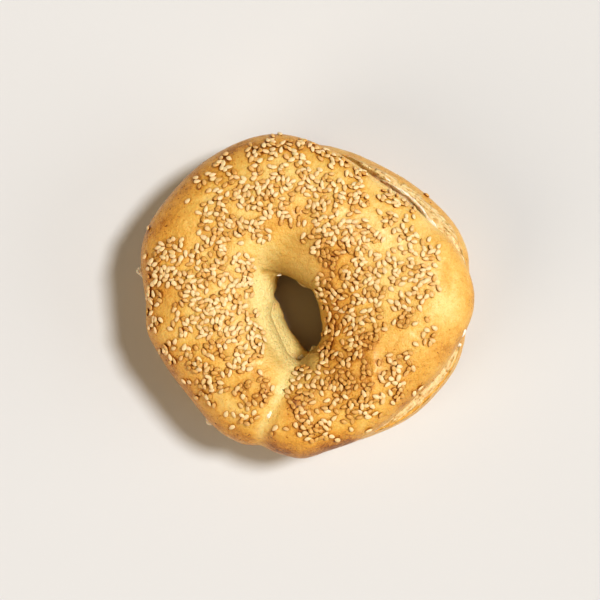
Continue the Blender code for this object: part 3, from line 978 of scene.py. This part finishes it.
def crust_finish(name):
    """Baked crust, with bare dough, floury skin and open crumb where the mesh says so, with the
    painted shade and light that the mesh and nodes carry.
    """
    finish = Finish(name)
    blotch = finish.noise(75.0, 4.0, 0.6)
    mottle = finish.noise(420.0, 4.0, 0.6)
    grain = finish.noise(1500.0, 2.0, 0.6)
    specks = finish.step(finish.noise(950.0, 1.0), 0.66, 0.74)
    # The crust's tone: baking, with painted shade near the seeds, in the crease and in dips, and
    # painted light on the rim at the gape and slit
    tone = finish.painted("bake") + (blotch - 0.5) * 0.36 + (mottle - 0.5) * 0.42 + specks * 0.26
    # The seeded value darkens the crust near the seeds: browner baking and painted shade between them
    tone = tone + (grain - 0.5) * 0.46 + finish.painted("seeded") * 0.36
    baked_and_shaded = finish.ramp(
        tone, crust_pale=0.08, crust_gold=0.36, crust_amber=0.60, crust_brown=0.84, crust_dark=1.0
    )
    pits = finish.step(finish.cells(850.0), 0.10, 0.34)
    skin = finish.mix(finish.painted("dough") * 0.85, baked_and_shaded, "dough")
    flakes = finish.noise(750.0, 4.0, 0.65)
    dust = finish.painted("flour") * finish.step(flakes, 0.42, 0.58, 0.50, 1.0)
    skin = finish.mix(dust, skin, "flour")
    # Painted shade: the crumb turns darker in the pores and in the low streaks that the torn value
    # marks
    holes = finish.step(finish.cells(620.0), 0.10, 0.34)
    torn = finish.painted("torn") * finish.step(mottle + grain * 0.5, 0.55, 0.95, 1.0, 0.4)
    crumb = finish.painted("crumb")
    final = finish.mix(crumb, skin, finish.mix(torn + (1.0 - holes) * 0.35, "crumb", "crumb_pore_shade"))
    roughness = 0.20 + blotch * 0.30 + dust * 0.25 + crumb * 0.30
    relief = finish.bump(mottle + finish.noise(900.0, 3.0, 0.6) * 0.6 + grain * 0.40, 0.00070, 1.0)
    relief = finish.bump((pits + flakes) * finish.painted("flour"), 0.00025, 0.9, relief)
    relief = finish.bump(holes * crumb, 0.00045, 0.9, relief)
    finish.shade(Base_Color=final, Roughness=roughness, Normal=relief, IOR=1.45)
    finish.shade(Subsurface_Weight=0.10, Subsurface_Scale=0.0006)
    finish.shade(Coat_Weight=0.22, Coat_Roughness=0.28)
    return finish.material


def spread_finish():
    """Moist cream cheese with soft streaks, and painted shade in the groove beside the top half."""
    finish = Finish("cream_cheese")
    streaks = finish.noise(520.0, 3.0, 0.6)
    deep = tuple(0.93 * c for c in tint("spread")[:3]) + (1.0,)
    shade = finish.mix(streaks, deep, "spread")
    # Painted shade: the spread turns brown in the groove
    groove_shade = finish.painted("deep") * finish.step(streaks, 0.35, 0.62, 0.85, 0.25)
    shade = finish.mix(groove_shade, shade, "crust_brown")
    relief = finish.bump(streaks + finish.noise(1600.0, 2.0) * 0.4, 0.00018, 0.7)
    finish.shade(Base_Color=shade, Roughness=0.22 + streaks * 0.22, Normal=relief, IOR=1.45)
    finish.shade(Subsurface_Weight=0.25, Subsurface_Scale=0.0016)
    return finish.material


def seed_finish():
    """Hulled sesame: cream to toasted tan from seed to seed, darker at the tip, and painted shade on
    the underside.
    """
    finish = Finish("sesame_seed")
    tone = finish.painted("tone")
    tip = finish.step(finish.painted("tip"), 0.70, 1.0, 0.0, 0.28)
    cloud = finish.noise(900.0, 2.0)
    # Painted shade: the underside of each seed turns darker
    side = finish.step(finish.painted("side"), 0.30, 0.62, 0.0, 0.90)
    share = finish.step(tone, 0.30, 1.0, 0.0, 0.70) + tip + side + (cloud - 0.5) * 0.6
    shade = finish.ramp(share, seed_pale=0.0, seed_tan=0.70, seed_dark=1.0)
    relief = finish.bump(finish.noise(2400.0, 2.0), 0.00008, 0.6)
    finish.shade(Base_Color=shade, Roughness=0.38 + cloud * 0.16, Normal=relief, IOR=1.46)
    finish.shade(Subsurface_Weight=0.15, Subsurface_Scale=0.0008)
    return finish.material


class BAGEL_OT_stage(bpy.types.Operator):
    """Makes the pale floor, the soft lights and the camera above the bagel"""

    bl_idname = "bagel.stage"
    bl_label = "Stage"

    SENSOR = 36.0
    AIM = (-0.00181, -0.00159, 0.0230)
    CLIP = (0.01, 120.0)
    FLOOR_SIZE = 80.0
    FILL = (1.0, 0.78, 0.54, 1.0)
    BACKDROP = (0.66, 0.64, 0.61, 1.0)
    # Each light's heading, elevation and spread in degrees, then its colour
    LIGHTS = {
        "key": (20.0, 61.0, 12.5, (1.0, 0.985, 0.975)),
        "side": (-12.0, 20.0, 45.0, (1.0, 0.97, 0.93)),
        "card": (215.0, 28.0, 38.0, (1.0, 0.84, 0.66)),
    }

    def add_floor(self, context):
        deselect()
        bpy.ops.mesh.primitive_plane_add(size=self.FLOOR_SIZE)
        floor = context.object
        floor.name = "floor"
        finish = Finish("floor")
        finish.shade(Base_Color="floor", Roughness=1.0, Specular_IOR_Level=0.0)
        floor.data.materials.append(finish.material)

    def add_camera(self, context, stage):
        lens = bpy.data.cameras.new("camera")
        lens.sensor_width = self.SENSOR
        lens.lens = self.SENSOR * stage.camera_distance / stage.frame_width
        lens.clip_start, lens.clip_end = self.CLIP
        camera = bpy.data.objects.new("camera", lens)
        camera.location = Vector(self.AIM) + Vector((0.0, 0.0, stage.camera_distance))
        context.scene.collection.objects.link(camera)
        context.scene.camera = camera

    def add_lights(self, context, stage):
        """Adds distant soft lights, each from its heading and elevation."""
        for name, (heading, elevation, spread, shade) in self.LIGHTS.items():
            level, height = math.cos(math.radians(elevation)), math.sin(math.radians(elevation))
            heading = math.radians(heading)
            way = Vector((math.cos(heading) * level, math.sin(heading) * level, height))
            light = bpy.data.lights.new(name, "SUN")
            light.angle = math.radians(spread)
            light.energy = getattr(stage, name + "_strength")
            light.color = shade
            holder = bpy.data.objects.new(name, light)
            holder.location = way
            holder.rotation_mode = "QUATERNION"
            holder.rotation_quaternion = way.to_track_quat("Z", "Y")
            context.scene.collection.objects.link(holder)

    def add_room(self, context, stage):
        """Adds the room's light, which the camera sees as a pale backdrop."""
        world = bpy.data.worlds.new("room")
        world.use_nodes = True
        nodes, links = world.node_tree.nodes, world.node_tree.links
        fill = nodes["Background"]
        fill.inputs["Color"].default_value = self.FILL
        fill.inputs["Strength"].default_value = stage.fill_strength
        backdrop = nodes.new("ShaderNodeBackground")
        backdrop.inputs["Color"].default_value = self.BACKDROP
        choice = nodes.new("ShaderNodeMixShader")
        links.new(nodes.new("ShaderNodeLightPath").outputs["Is Camera Ray"], choice.inputs["Fac"])
        links.new(fill.outputs["Background"], choice.inputs[1])
        links.new(backdrop.outputs["Background"], choice.inputs[2])
        links.new(choice.outputs["Shader"], nodes["World Output"].inputs["Surface"])
        context.scene.world = world

    def execute(self, context):
        settings = context.scene.bagel
        self.add_floor(context)
        self.add_camera(context, settings.stage)
        self.add_lights(context, settings.stage)
        self.add_room(context, settings.stage)
        context.scene.view_settings.view_transform = "Standard"
        context.scene.view_settings.look = "High Contrast"
        return {"FINISHED"}


class BagelSettings(bpy.types.PropertyGroup):
    """All that the bagel's operators read."""

    shape: PointerProperty(type=BagelShape)
    seeds: PointerProperty(type=BagelSeeds)
    colours: PointerProperty(type=BagelColours)
    stage: PointerProperty(type=BagelStage)


STEPS = (
    BAGEL_OT_bottom_half,
    BAGEL_OT_cream_cheese,
    BAGEL_OT_top_half,
    BAGEL_OT_spread_flecks,
    BAGEL_OT_sesame_seeds,
    BAGEL_OT_stage,
)


class BAGEL_PT_panel(bpy.types.Panel):
    """Lists the operators that build the bagel."""

    bl_label = "Bagel"
    bl_space_type = "VIEW_3D"
    bl_region_type = "UI"
    bl_category = "Bagel"

    def draw(self, context):
        for step in STEPS:
            self.layout.operator(step.bl_idname)


CLASSES = (BagelShape, BagelSeeds, BagelColours, BagelStage, BagelSettings, *STEPS, BAGEL_PT_panel)


def register():
    for cls in CLASSES:
        bpy.utils.register_class(cls)
    bpy.types.Scene.bagel = PointerProperty(type=BagelSettings)


def unregister():
    del bpy.types.Scene.bagel
    for cls in reversed(CLASSES):
        bpy.utils.unregister_class(cls)


def main():
    register()
    bpy.ops.bagel.bottom_half()
    bpy.ops.bagel.cream_cheese()
    bpy.ops.bagel.top_half()
    bpy.ops.bagel.spread_flecks()
    bpy.ops.bagel.sesame_seeds()
    bpy.ops.bagel.stage()


if __name__ == "__main__":
    main()
